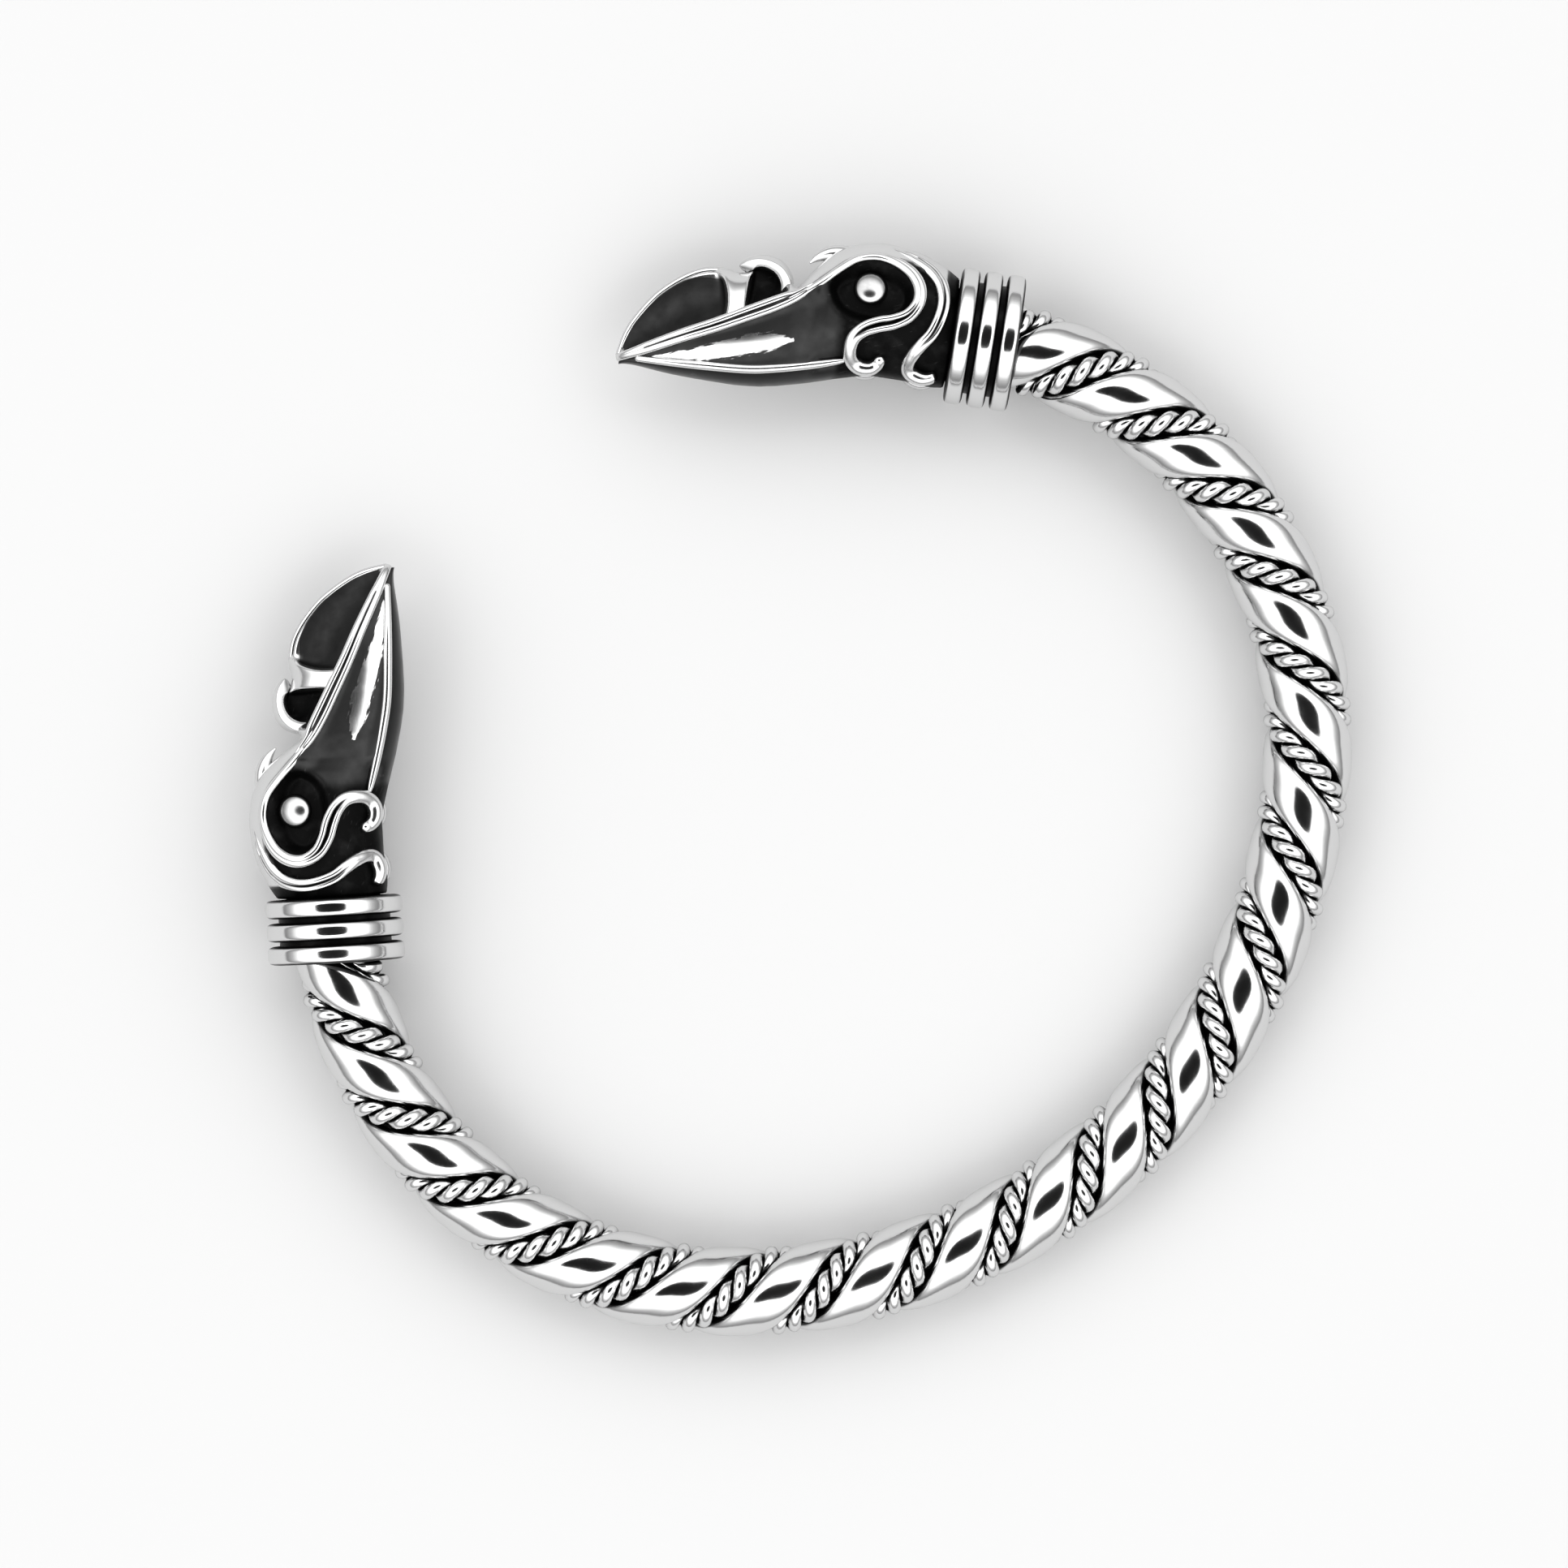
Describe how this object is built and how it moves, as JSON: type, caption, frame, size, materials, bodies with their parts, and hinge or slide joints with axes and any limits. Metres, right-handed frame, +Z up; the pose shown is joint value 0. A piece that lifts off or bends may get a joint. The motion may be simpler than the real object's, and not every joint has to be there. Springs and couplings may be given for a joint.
{
  "type": "viking arm ring",
  "caption": "Open oval arm ring of twisted rope-like wire with ringed collars and a raven head on each end, the beaks facing each other across the gap.",
  "frame": {"origin": "on the surface the ring lies on, under the middle of the ring", "axes": "+Z up out of the surface, +Y towards the gap between the two beaks, +X across the ring from the left head to the right head"},
  "size_m": [0.0752, 0.0661, 0.0095],
  "materials": {
    "core": "dull, hidden inside the rope",
    "smooth_strand": "mirror polished, blackened towards the grooves",
    "twisted_strand": "polished wire, blackened between its turns",
    "collar": "mirror polished rings, blackened grooves",
    "head": "polished casting, blackened hollows and eye sockets"
  },
  "bodies": {
    "root": {"core_rod": "core", "smooth_strand_1": "smooth_strand", "smooth_strand_2": "smooth_strand", "twisted_strand_1": "twisted_strand", "twisted_strand_2": "twisted_strand", "collar_right": "collar", "collar_left": "collar", "raven_head_right": "head", "raven_head_left": "head"}
  },
  "joints": []
}
